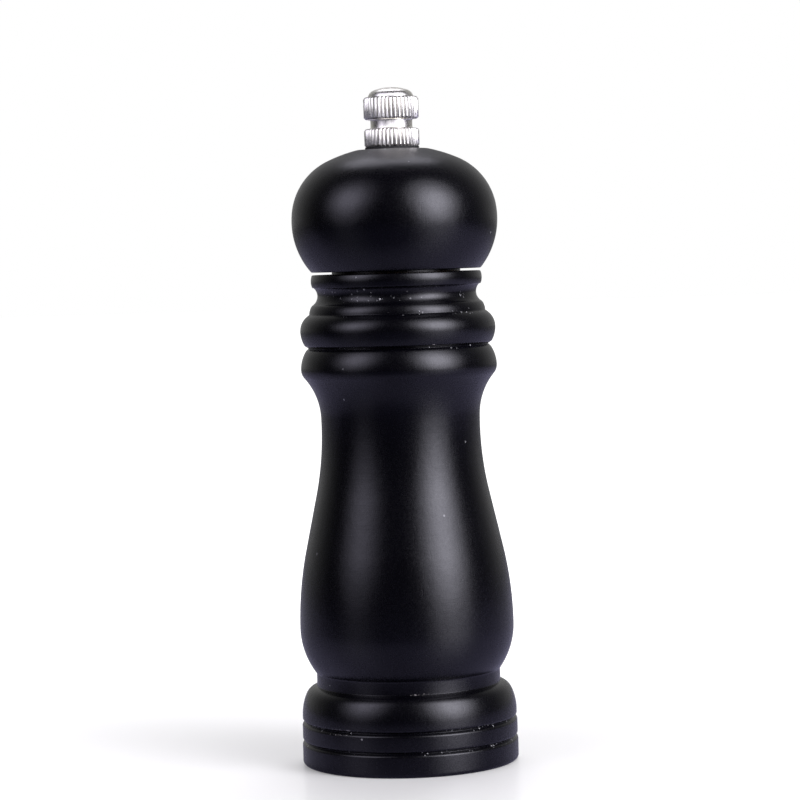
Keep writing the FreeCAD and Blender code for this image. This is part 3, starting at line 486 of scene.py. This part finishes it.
class Nodes:
    """A material with short ways to add and join its nodes."""

    def __init__(self, name):
        self.material = bpy.data.materials.new(name)
        self.material.use_nodes = True
        self.tree = self.material.node_tree
        self.shader = self.tree.nodes["Principled BSDF"]
        self.coordinates = self.add("ShaderNodeTexCoord").outputs["Object"]

    def add(self, kind, **settings):
        node = self.tree.nodes.new(kind)
        for key, value in settings.items():
            setattr(node, key, value)
        return node

    def put(self, socket, value):
        """Sets a socket to a value, or joins another socket to it."""
        if isinstance(value, bpy.types.NodeSocket):
            self.tree.links.new(value, socket)
        else:
            socket.default_value = value

    def stretched(self, x=1.0, y=1.0, z=1.0):
        """The object's own coordinates, scaled."""
        node = self.add("ShaderNodeMapping")
        self.put(node.inputs["Vector"], self.coordinates)
        node.inputs["Scale"].default_value = (x, y, z)
        return node.outputs["Vector"]

    def noise(self, scale, detail=4.0, rough=0.55, vector=None):
        node = self.add("ShaderNodeTexNoise")
        self.put(node.inputs["Vector"], vector or self.coordinates)
        node.inputs["Scale"].default_value = scale
        node.inputs["Detail"].default_value = detail
        node.inputs["Roughness"].default_value = rough
        return node.outputs["Fac"]

    def cells(self, scale):
        """Voronoi cells: distance from each cell's centre, and a random value per cell."""
        node = self.add("ShaderNodeTexVoronoi")
        self.put(node.inputs["Vector"], self.coordinates)
        node.inputs["Scale"].default_value = scale
        split = self.add("ShaderNodeSeparateColor")
        self.put(split.inputs["Color"], node.outputs["Color"])
        return node.outputs["Distance"], split.outputs["Red"]

    def span(self, value, low, high, to_low=0.0, to_high=1.0):
        """Maps low..high to to_low..to_high, held at both ends."""
        node = self.add("ShaderNodeMapRange")
        self.put(node.inputs["Value"], value)
        for key, number in zip(("From Min", "From Max", "To Min", "To Max"), (low, high, to_low, to_high)):
            self.put(node.inputs[key], number)
        return node.outputs["Result"]

    def math(self, operation, one, two=0.0):
        node = self.add("ShaderNodeMath", operation=operation)
        self.put(node.inputs[0], one)
        self.put(node.inputs[1], two)
        return node.outputs["Value"]

    def mix(self, amount, one, two):
        """Mixes two colours."""
        node = self.add("ShaderNodeMix", data_type="RGBA")
        self.put(node.inputs["Factor"], amount)
        self.put(node.inputs["A"], one)
        self.put(node.inputs["B"], two)
        return node.outputs["Result"]

    def attribute(self, name):
        return self.add("ShaderNodeAttribute", attribute_name=name).outputs["Fac"]

    def away(self):
        """Distance from the origin, in metres."""
        node = self.add("ShaderNodeVectorMath", operation="LENGTH")
        self.put(node.inputs[0], self.coordinates)
        return node.outputs["Value"]

    def bumps(self, *layers):
        """Bump from (height socket, distance in metres, strength) layers, coarse first."""
        normal = None
        for height, distance, strength in layers:
            node = self.add("ShaderNodeBump")
            self.put(node.inputs["Height"], height)
            node.inputs["Distance"].default_value = distance
            node.inputs["Strength"].default_value = strength
            if normal:
                self.put(node.inputs["Normal"], normal)
            normal = node.outputs["Normal"]
        self.put(self.shader.inputs["Normal"], normal)

    def finish(self, **inputs):
        """Sets or joins the shader's inputs, named with _ for a space, and gives the material."""
        for key, value in inputs.items():
            self.put(self.shader.inputs[key.replace("_", " ")], value)
        return self.material


def rgb(red, green, blue):
    return (red, green, blue, 1.0)


# ---------------------------------------------------------------- materials


def wood_grain(nodes):
    """Straight grain of a pale hardwood blank that was turned along its length."""
    bands = nodes.noise(260.0, 3.0, 0.6, nodes.stretched(1.0, 0.35, 0.03))
    fibre = nodes.noise(2600.0, 3.0, 0.6, nodes.stretched(1.0, 1.0, 0.02))
    tint = nodes.mix(nodes.span(bands, 0.35, 0.65), rgb(0.50, 0.31, 0.16), rgb(0.66, 0.45, 0.26))
    return nodes.mix(nodes.span(fibre, 0.45, 0.75, 0.0, 0.55), tint, rgb(0.33, 0.18, 0.085)), fibre


def dust_and_glints(n, nook):
    """Single specks of dust anywhere, and fine pale grains in patches in the nooks: dust, and painted glints
    of light along the creases.
    """
    far, chosen = n.cells(520.0)
    dot = n.math("LESS_THAN", far, n.span(chosen, 0.0, 1.0, 0.05, 0.14))
    rare = n.math("GREATER_THAN", chosen, n.span(nook, 0.0, 1.0, 0.992, 0.84))
    specks = n.math("MULTIPLY", n.math("MULTIPLY", dot, rare), n.span(nook, 0.0, 1.0, 0.35, 0.85))

    # Pale grains in patches in the nooks: dust, and painted glints of light along the creases.
    patch = n.span(n.noise(70.0, 2.0, 0.5), 0.50, 0.62)
    near, picked = n.cells(1500.0)
    dust_and_glint_grains = n.math("LESS_THAN", near, n.span(picked, 0.0, 1.0, 0.18, 0.34))
    dust_and_glint_grains = n.math("MULTIPLY", dust_and_glint_grains, n.math("GREATER_THAN", picked, 0.79))
    dust_and_glint_grains = n.math("MULTIPLY", n.math("MULTIPLY", dust_and_glint_grains, patch), n.span(nook, 0.45, 0.75))
    return specks, n.math("MULTIPLY", dust_and_glint_grains, 0.8)


def chips(n):
    """Small ragged chips along some stretches of the sharp edges."""
    ragged = n.noise(1900.0, 3.0, 0.7)
    stretches = n.span(n.noise(75.0, 2.0, 0.5), 0.56, 0.70)
    return n.span(n.math("MULTIPLY", n.math("MULTIPLY", n.attribute("edge"), stretches), ragged), 0.43, 0.50)


def lacquer():
    """Satin black lacquer over turned wood, with a few chips and specks of dust, pale grains in the nooks
    that are dust and painted glints, and bare wood in the bores.

    It reads four values that each lacquered piece stores: edge, nook, bare and matt.
    """
    n = Nodes("black_lacquer")
    nook, bare = n.attribute("nook"), n.attribute("bare")
    wood, fibre = wood_grain(n)
    cloud = n.noise(55.0, 4.0, 0.6)
    specks, dust_and_glint_grains = dust_and_glints(n, nook)

    colour = n.mix(n.span(cloud, 0.3, 0.7), rgb(0.0005, 0.0004, 0.0013), rgb(0.0010, 0.0009, 0.0021))
    colour = n.mix(chips(n), colour, rgb(0.24, 0.225, 0.21))
    colour = n.mix(specks, colour, rgb(0.52, 0.52, 0.50))
    # Pale grains in the nooks: dust and painted glints.
    colour = n.mix(dust_and_glint_grains, colour, rgb(0.42, 0.42, 0.41))
    colour = n.mix(bare, colour, wood)

    rough = n.span(cloud, 0.25, 0.75, 0.235, 0.275)
    rough = n.math("ADD", rough, n.span(n.noise(1500.0, 3.0), 0.3, 0.7, -0.02, 0.035))
    rough = n.math("ADD", rough, n.math("MULTIPLY", bare, 0.32))
    rough = n.math("ADD", rough, n.math("MULTIPLY", n.attribute("matt"), 0.16))

    orange_peel = n.noise(420.0, 3.0, 0.5)
    pores = n.span(n.noise(2400.0, 2.0, 0.5, n.stretched(1.0, 1.0, 0.045)), 0.60, 0.78)
    rings = n.noise(1.0, 2.0, 0.6, n.stretched(10.0, 10.0, 2600.0))
    n.bumps(
        (orange_peel, 0.00012, 0.24),
        (pores, -0.00004, 0.14),
        (rings, 0.00002, 0.24),
        (fibre, 0.00003, 0.05),
    )
    return n.finish(Base_Color=colour, Roughness=rough, Specular_IOR_Level=0.4)


def metal(name, low, high, rough, brush=None, brush_strength=0.2, groove_shade=False):
    """A metal with faint cloudy tone, fine wear and, with brush coordinates, machining lines.

    The flag for painted shade darkens it where the piece's groove value is high, more in some grooves than in
    others.
    """
    n = Nodes(name)
    cloud = n.noise(270.0, 4.0, 0.6)
    colour = n.mix(n.span(cloud, 0.3, 0.7), rgb(*low), rgb(*high))
    if groove_shade:
        # Painted shade in the knurl grooves, patchy along them.
        patch = n.span(n.noise(420.0, 2.0, 0.5, n.stretched(1.0, 1.0, 0.12)), 0.38, 0.62, 0.35, 1.0)
        deep = n.span(n.attribute("groove"), 0.35, 0.95)
        colour = n.mix(n.math("MULTIPLY", deep, patch), colour, rgb(0.035, 0.034, 0.032))
    fine = n.noise(2700.0, 3.0, 0.6)
    layers = [(fine, 0.00001, 0.25)]
    if brush:
        layers.append((n.noise(1.0, 3.0, 0.6, brush(n)), 0.00002, brush_strength))
    n.bumps(*layers)
    worn = n.span(fine, 0.3, 0.7, rough * 0.8, rough * 1.25)
    return n.finish(Base_Color=colour, Roughness=worn, Metallic=1.0)


def moulded_plastic():
    """Matt black moulded plastic with a fine spark-eroded texture."""
    n = Nodes("moulded_plastic")
    colour = n.mix(n.noise(300.0), rgb(0.022, 0.022, 0.024), rgb(0.034, 0.034, 0.036))
    n.bumps((n.noise(5200.0, 2.0), 0.00003, 0.45))
    return n.finish(Base_Color=colour, Roughness=n.span(n.noise(1800.0), 0.3, 0.7, 0.48, 0.6))


def ceramic():
    """Fine-ground off-white ceramic with faint specks."""
    n = Nodes("burr_ceramic")
    base = n.mix(n.span(n.noise(240.0), 0.3, 0.7), rgb(0.78, 0.75, 0.69), rgb(0.86, 0.84, 0.79))
    far, chosen = n.cells(1900.0)
    fleck = n.math("MULTIPLY", n.math("LESS_THAN", far, 0.16), n.math("GREATER_THAN", chosen, 0.9))
    colour = n.mix(n.math("MULTIPLY", fleck, 0.4), base, rgb(0.42, 0.38, 0.33))
    n.bumps((n.noise(3200.0, 3.0), 0.00003, 0.3))
    return n.finish(Base_Color=colour, Roughness=n.span(n.noise(900.0), 0.3, 0.7, 0.42, 0.56))


def fibre_washer():
    """Pressed black fibre with a short felted texture."""
    n = Nodes("black_fibre")
    colour = n.mix(n.noise(1600.0), rgb(0.010, 0.010, 0.010), rgb(0.022, 0.021, 0.020))
    n.bumps((n.noise(4200.0, 3.0), 0.00004, 0.5))
    return n.finish(Base_Color=colour, Roughness=0.7)


def lengthwise(n):
    """Drawn lines along the axis."""
    return n.stretched(3200.0, 3200.0, 60.0)


def turned_marks(n):
    """Turning lines round the axis."""
    return n.stretched(60.0, 60.0, 5200.0)


def face_rings(n):
    """Concentric machining lines on a flat face."""
    split = n.add("ShaderNodeSeparateXYZ")
    n.put(split.inputs["Vector"], n.coordinates)
    square = n.math("ADD", n.math("POWER", split.outputs["X"], 2.0), n.math("POWER", split.outputs["Y"], 2.0))
    join = n.add("ShaderNodeCombineXYZ")
    n.put(join.inputs["X"], n.math("MULTIPLY", n.math("SQRT", square), 6500.0))
    return join.outputs["Vector"]


materials = {
    "black_lacquered_wood": lacquer(),
    "black_plastic": moulded_plastic(),
    "ceramic": ceramic(),
    "steel_sheet": metal("zinc_sheet", (0.50, 0.51, 0.53), (0.60, 0.61, 0.62), 0.33, face_rings, 0.12),
    "spring_steel": metal("spring_steel", (0.46, 0.45, 0.43), (0.58, 0.57, 0.55), 0.26),
    "shaft_steel": metal("shaft_steel", (0.60, 0.60, 0.61), (0.70, 0.70, 0.71), 0.30, lengthwise, 0.35),
    "black_fibre": fibre_washer(),
    "nickel": metal(
        "polished_nickel", (0.90, 0.88, 0.80), (0.97, 0.95, 0.88), 0.30, turned_marks, 0.05, groove_shade=True
    ),
    "screw_steel": metal("screw_zinc", (0.55, 0.56, 0.58), (0.66, 0.66, 0.67), 0.28),
}


# ---------------------------------------------------------------- pieces


def mark(obj, name, value_at):
    """Stores a value per vertex, from its radius and height in mm."""
    layer = obj.data.attributes.new(name, "FLOAT", "POINT")
    at = np.empty(len(obj.data.vertices) * 3)
    obj.data.vertices.foreach_get("co", at)
    at = at.reshape(-1, 3) / MM
    values = [value_at(math.hypot(x, y), z) for x, y, z in at]
    layer.data.foreach_set("value", values)


def nearness(radius, height, places, spread):
    """1 on any of the (radius, height) places, fading to 0 at spread away."""
    gap = min(math.hypot(radius - r, height - h) for r, h in places)
    return max(0.0, 1.0 - gap / spread)


def place(obj, node, body, slot):
    """Gives a piece its body, the CAD node it stands for, and its material slot and finish."""
    obj.data.materials.append(materials[slot])
    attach(obj, body)
    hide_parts(node)
    return obj


def inside_body(radius, height):
    """1 on bare wood inside the body, fading to 0 where lacquer was sprayed into the socket's mouth."""
    if height < RECESS_TOP + 0.05:
        return float(radius < RECESS_RADIUS + 0.05 and height > 0.2)
    return min(max((RIM_HEIGHT - 0.25 - height) / 3.0, 0.0), 1.0) if radius < 15.9 else 0.0


def inside_head(radius, height):
    """1 in the shaft's bore and on the tenon, fading to 0 where lacquer reached the tenon's root."""
    if height > HEAD_FOOT - 0.1:
        return float(radius < SHAFT_BORE + 0.2)
    return min(max((HEAD_FOOT - 1.5 - height) / 3.0, 0.0), 1.0)


def round_knob(radius, height):
    """1 on top of the head next to the knob, fading to 0 further out."""
    return min(max((22.0 - radius) / 10.0, 0.0), 1.0) if height > 138.0 else 0.0


def nowhere(radius, height):
    return 0.0


# Radius and height of the sharp edges that chip and of the nooks that hold dust and painted glints, in mm.
BODY_EDGES = [(26.2, 0.4), (26.4, 5.3), (26.4, 6.45), (26.4, 10.0), (26.3, 11.2), WAIST]
BODY_EDGES += [(22.6, 101.45), (22.9, 102.65), (20.75, 112.4), (20.7, 116.7), (20.8, 119.7)]
BODY_NOOKS = [(25.75, 5.85), (25.65, 10.6), (22.5, 20.5), (21.9, 102.05), (21.5, 110.2)]
BODY_NOOKS += [(19.5, 114.0), (19.6, 115.5)]
HEAD_EDGES = [(20.8, 120.7), (8.4, HEAD_TOP)]
EDGE_SPREAD, NOOK_SPREAD = 0.8, 1.6
WOOD_SEGMENTS, KNOB_SEGMENTS = 216, 480

body = lathe("mill_body_turned", body_outline(), WOOD_SEGMENTS)
mark(body, "edge", lambda r, h: nearness(r, h, BODY_EDGES, EDGE_SPREAD))
mark(body, "nook", lambda r, h: nearness(r, h, BODY_NOOKS, NOOK_SPREAD))
mark(body, "bare", inside_body)
mark(body, "matt", nowhere)
place(body, "mill_body", "body", "black_lacquered_wood")

head = lathe("head_turned", head_outline(), WOOD_SEGMENTS)
mark(head, "edge", lambda r, h: nearness(r, h, HEAD_EDGES, EDGE_SPREAD))
mark(head, "nook", nowhere)
mark(head, "bare", inside_head)
mark(head, "matt", round_knob)
place(head, "head", "head", "black_lacquered_wood")

knob = lathe("knob_knurled", knob_outline(), KNOB_SEGMENTS, shape=knurled, crease_angle=40.0)
# The groove value places the nickel's painted shade in the knurl grooves.
mark(knob, "groove", lambda r, h: (KNOB_RADIUS - r) / KNURL_DEPTH if r > 6.2 else 0.0)
place(knob, "adjusting_knob", "knob", "nickel")
place(threaded_shaft(), "drive_shaft", "shaft", "shaft_steel")

# The spring sits between the washer that turns with the head and the one on the rotor; here it is one fixed
# mesh.
spring = coil_spring()
spring.data.materials.append(materials["spring_steel"])
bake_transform(spring)
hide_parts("spring")

replaced = {"mill_body", "head", "adjusting_knob", "drive_shaft", "spring"}
for part in frame["record"]["subparts"]:
    if part["node"] in replaced:
        continue
    kept = frame["nodes"][part["node"]]
    kept.data.materials.clear()
    kept.data.materials.append(materials[part["material_slot"]])
    edge = kept.modifiers.new("worn_edges", "BEVEL")
    edge.width = 0.08 * MM
    edge.segments = 2
    edge.limit_method = "ANGLE"
    edge.angle_limit = math.radians(40)
    edge.harden_normals = True


# ---------------------------------------------------------------- floor, light and camera


COOL_LIGHT, BLUE_LIGHT = (0.89, 0.875, 1.0), (0.84, 0.81, 1.0)
MILL_MIDDLE, KNOB_MIDDLE = (0.0, 0.0, 0.09), (0.0, 0.0, 0.157)


def emitter(name, width, height, azimuth, elevation, distance, watts, target=MILL_MIDDLE, tint=COOL_LIGHT):
    """An oval soft light that faces target, azimuth degrees to the camera's right and elevation above."""
    a, e = math.radians(azimuth), math.radians(elevation)
    lamp = bpy.data.lights.new(name, "AREA")
    lamp.shape = "ELLIPSE"
    lamp.size, lamp.size_y = width, height
    lamp.energy = watts
    lamp.color = tint
    obj = bpy.data.objects.new(name, lamp)
    bpy.context.scene.collection.objects.link(obj)
    back = (math.sin(a) * math.cos(e), -math.cos(a) * math.cos(e), math.sin(e))
    obj.location = [t + b * distance for t, b in zip(target, back)]
    obj.rotation_mode = "QUATERNION"
    obj.rotation_quaternion = Vector(back).to_track_quat("Z", "Y")
    obj.visible_camera = False
    return obj


def softbox(name, width, height, azimuth, elevation, distance, brightness, tint=COOL_LIGHT):
    """A lamp behind cloth: three ovals, each smaller and a little nearer, for a soft edge in reflections."""
    for layer, (spread, share) in enumerate(((1.0, 0.19), (0.64, 0.36), (0.37, 0.45))):
        nearer = 1.0 - 0.02 * layer
        across, along = width * spread * nearer, height * spread * nearer
        watts = brightness * share * math.pi * (math.pi / 4 * across * along)
        emitter(f"{name}_{layer}", across, along, azimuth, elevation, distance * nearer, watts, tint=tint)


softbox("softbox_right", width=1.06, height=1.46, azimuth=49.5, elevation=24.5, distance=0.95, brightness=9.5)
softbox(
    "softbox_left",
    width=0.94,
    height=1.24,
    azimuth=-56.0,
    elevation=31.0,
    distance=0.95,
    brightness=3.45,
    tint=BLUE_LIGHT,
)
top_reflection = emitter(
    "top_reflection", width=0.70, height=0.52, azimuth=184.0, elevation=60.0, distance=1.0, watts=2.2
)
top_reflection.visible_diffuse = False
overhead = emitter(
    "overhead", width=0.55, height=0.55, azimuth=172.0, elevation=66.0, distance=1.1, watts=7.5
)
overhead.visible_glossy = False
knob_fill = emitter(
    "knob_fill",
    width=1.3,
    height=1.3,
    azimuth=-4.0,
    elevation=30.0,
    distance=1.0,
    watts=6.2,
    target=KNOB_MIDDLE,
)


def white_floor():
    """A pale paper floor with painted light: it glows for the camera, brighter than in reflections, so that
    it meets the backdrop. The glow fades towards the mill, a painted shade round its foot.

    In reflections it is darker in front of the mill than behind it, a painted shade.
    """
    mesh = bpy.data.meshes.new("floor")
    edge = 6.0
    corners = [(-edge, -edge, 0), (edge, -edge, 0), (edge, edge, 0), (-edge, edge, 0)]
    mesh.from_pydata(corners, [], [[0, 1, 2, 3]])
    obj = bpy.data.objects.new("floor", mesh)
    bpy.context.scene.collection.objects.link(obj)
    paper = Nodes("white_paper")
    seen = paper.add("ShaderNodeLightPath").outputs["Is Camera Ray"]
    # Painted light: the floor glows for the camera, less near the mill, which paints shade round its foot.
    painted_glow = paper.math("MULTIPLY", seen, paper.span(paper.away(), 0.02, 0.35, 0.19, 1.0))
    split = paper.add("ShaderNodeSeparateXYZ")
    paper.put(split.inputs["Vector"], paper.coordinates)
    aside = paper.math("ADD", split.outputs["Y"], paper.math("MULTIPLY", split.outputs["X"], 0.3))
    # Painted shade: as seen in reflections, the floor is darker in front of the mill than behind it.
    painted_reflection_shade = paper.mix(paper.span(aside, -0.20, -0.02), rgb(0.06, 0.06, 0.09), rgb(0.33, 0.32, 0.44))
    tone = paper.mix(seen, painted_reflection_shade, rgb(0.83, 0.83, 0.76))
    paper.finish(Base_Color=tone, Roughness=0.22, Specular_IOR_Level=0.3)
    paper.finish(Emission_Color=rgb(1.0, 1.0, 1.0), Emission_Strength=painted_glow)
    obj.data.materials.append(paper.material)


def studio_world():
    """A dim room with a white backdrop behind the mill. The camera itself sees plain white all round."""
    world = bpy.data.worlds.new("studio")
    bpy.context.scene.world = world
    world.use_nodes = True
    tree = world.node_tree
    background = tree.nodes["Background"]
    where = tree.nodes.new("ShaderNodeTexCoord")
    split = tree.nodes.new("ShaderNodeSeparateXYZ")
    behind = tree.nodes.new("ShaderNodeMapRange")
    behind.interpolation_type = "SMOOTHSTEP"
    behind.inputs["To Min"].default_value = 0.01
    behind.inputs["To Max"].default_value = 0.40
    seen = tree.nodes.new("ShaderNodeLightPath")
    brightest = tree.nodes.new("ShaderNodeMath")
    brightest.operation = "MAXIMUM"
    tree.links.new(where.outputs["Generated"], split.inputs["Vector"])
    tree.links.new(split.outputs["Y"], behind.inputs["Value"])
    tree.links.new(behind.outputs["Result"], brightest.inputs[0])
    tree.links.new(seen.outputs["Is Camera Ray"], brightest.inputs[1])
    tree.links.new(brightest.outputs["Value"], background.inputs["Strength"])
    background.inputs["Color"].default_value = rgb(1.0, 1.0, 1.0)


def studio_camera():
    """A long lens from the front, a little above the mill's middle, looking slightly down and rolled."""
    data = bpy.data.cameras.new("camera")
    data.sensor_width, data.lens = 36.0, 132.6
    data.clip_start, data.clip_end = 0.05, 50.0
    obj = bpy.data.objects.new("camera", data)
    bpy.context.scene.collection.objects.link(obj)
    away, height = 0.72, 0.125
    down, roll = math.radians(2.884), math.radians(-1.79)
    turn = Matrix.Rotation(math.pi / 2 - down, 4, "X") @ Matrix.Rotation(roll, 4, "Z")
    obj.matrix_world = Matrix.Translation((0.0, -away, height)) @ turn
    bpy.context.scene.camera = obj


only_knob = bpy.data.collections.new("lit_by_knob_fill")
only_knob.objects.link(knob)
knob_fill.light_linking.receiver_collection = only_knob
white_floor()
studio_world()
studio_camera()
bpy.context.scene.view_settings.view_transform = "Standard"
